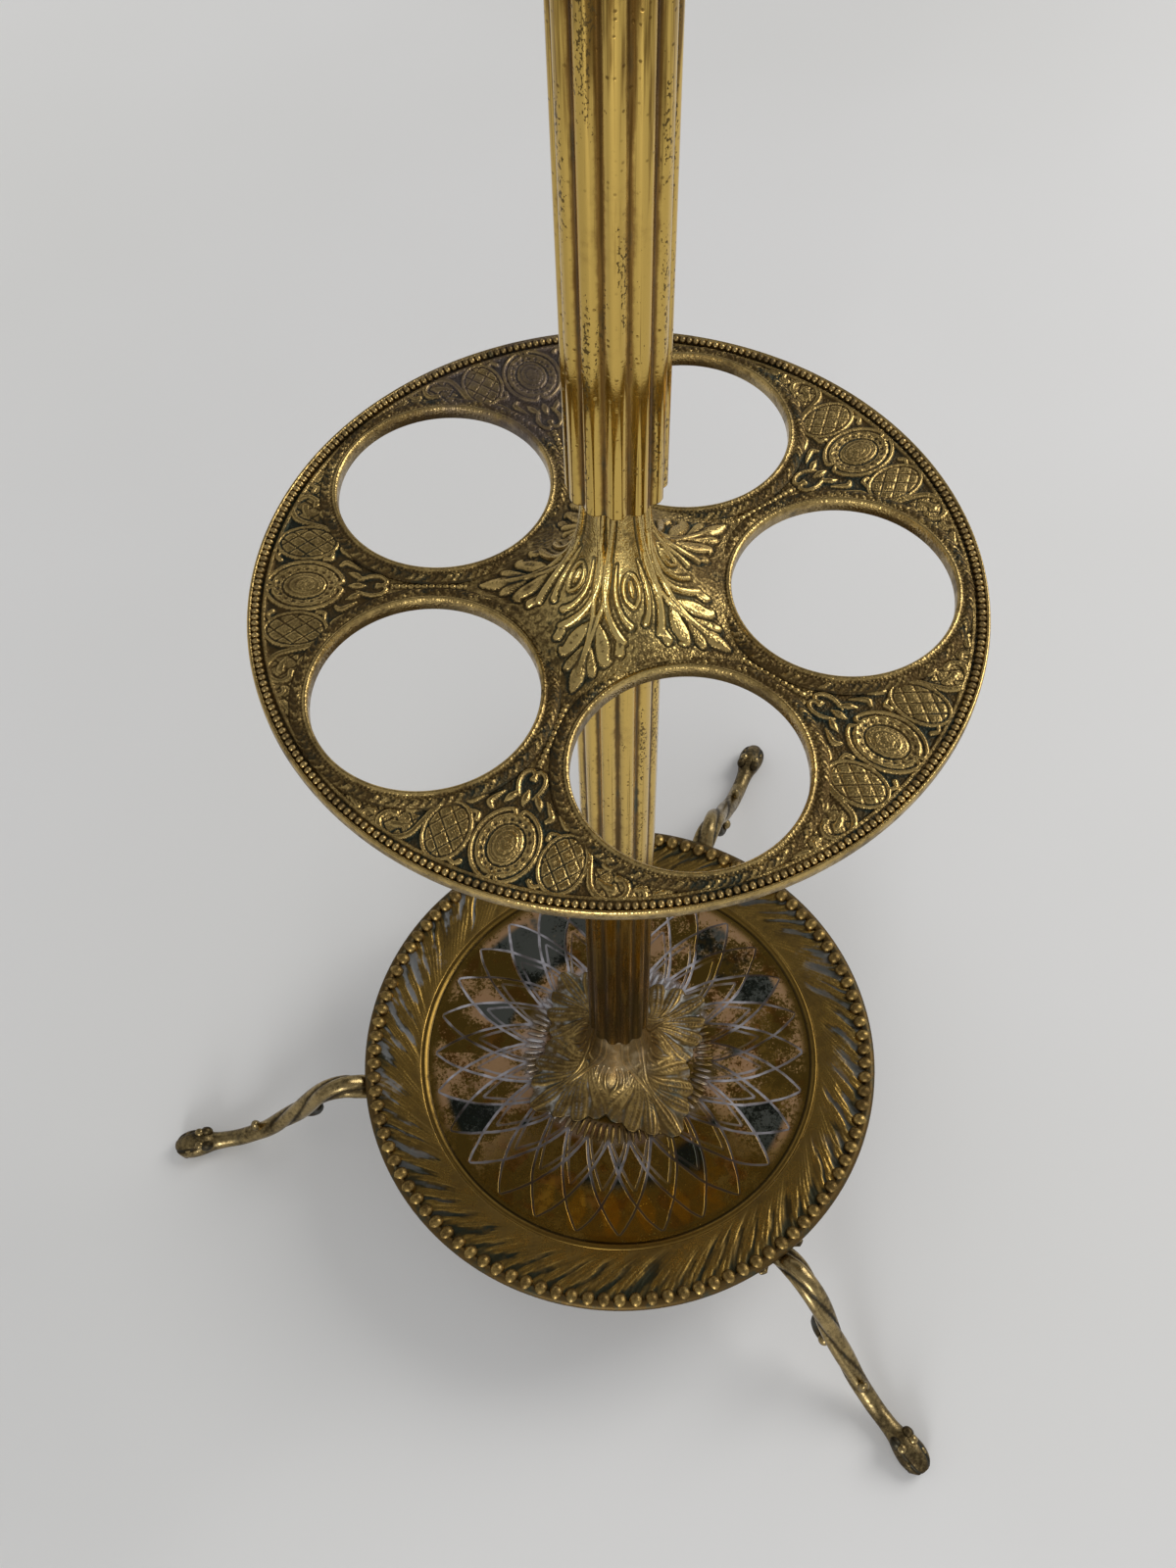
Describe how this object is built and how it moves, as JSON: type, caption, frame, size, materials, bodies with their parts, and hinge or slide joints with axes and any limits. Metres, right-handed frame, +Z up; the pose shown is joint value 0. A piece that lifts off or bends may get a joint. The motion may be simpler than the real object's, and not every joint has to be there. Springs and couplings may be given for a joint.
{
  "type": "umbrella stand",
  "caption": "Free-standing umbrella stand: pierced round ring on a reeded column, over a pearl-rimmed drip tray on three paw-footed legs.",
  "frame": {"origin": "on the floor, at the middle of the stand's footprint; the column's axis is 50 mm along +X and 18 mm along -Y from it, because the three feet reach unequally along X and Y", "axes": "+Z up along the column; -Y is the side the stand is seen from; +X to the right"},
  "size_m": [0.4302, 0.4646, 0.7964],
  "materials": {
    "reeded_brass": "polished drawn tube with brown specks",
    "ring_brass": "antiqued casting, dark in the recesses",
    "tray_brass": "worn polish with dull residue in the lines",
    "boss_brass": "antiqued casting",
    "leg_brass": "dull antiqued casting",
    "hub_brass": "plain casting",
    "turned_brass": "polished",
    "plug_brass": "plain turned",
    "steel": "zinc plated",
    "gasket_fibre": "dull"
  },
  "bodies": {
    "root": {"upper_tube": "reeded_brass", "lower_tube": "reeded_brass", "umbrella_ring": "ring_brass", "drip_tray": "tray_brass", "tray_boss": "boss_brass", "left_leg": "leg_brass", "front_leg": "leg_brass", "back_leg": "leg_brass", "leg_hub": "hub_brass", "finial": "turned_brass", "top_cap": "turned_brass", "finial_washer": "turned_brass", "upper_tube_top_plug": "plug_brass", "upper_tube_foot_plug": "plug_brass", "lower_tube_top_plug": "plug_brass", "lower_tube_foot_plug": "plug_brass", "tie_rod": "steel", "leg_screws": "steel", "hub_washer": "steel", "lock_washer": "steel", "bottom_nut": "steel", "tray_gasket": "gasket_fibre"}
  },
  "joints": []
}
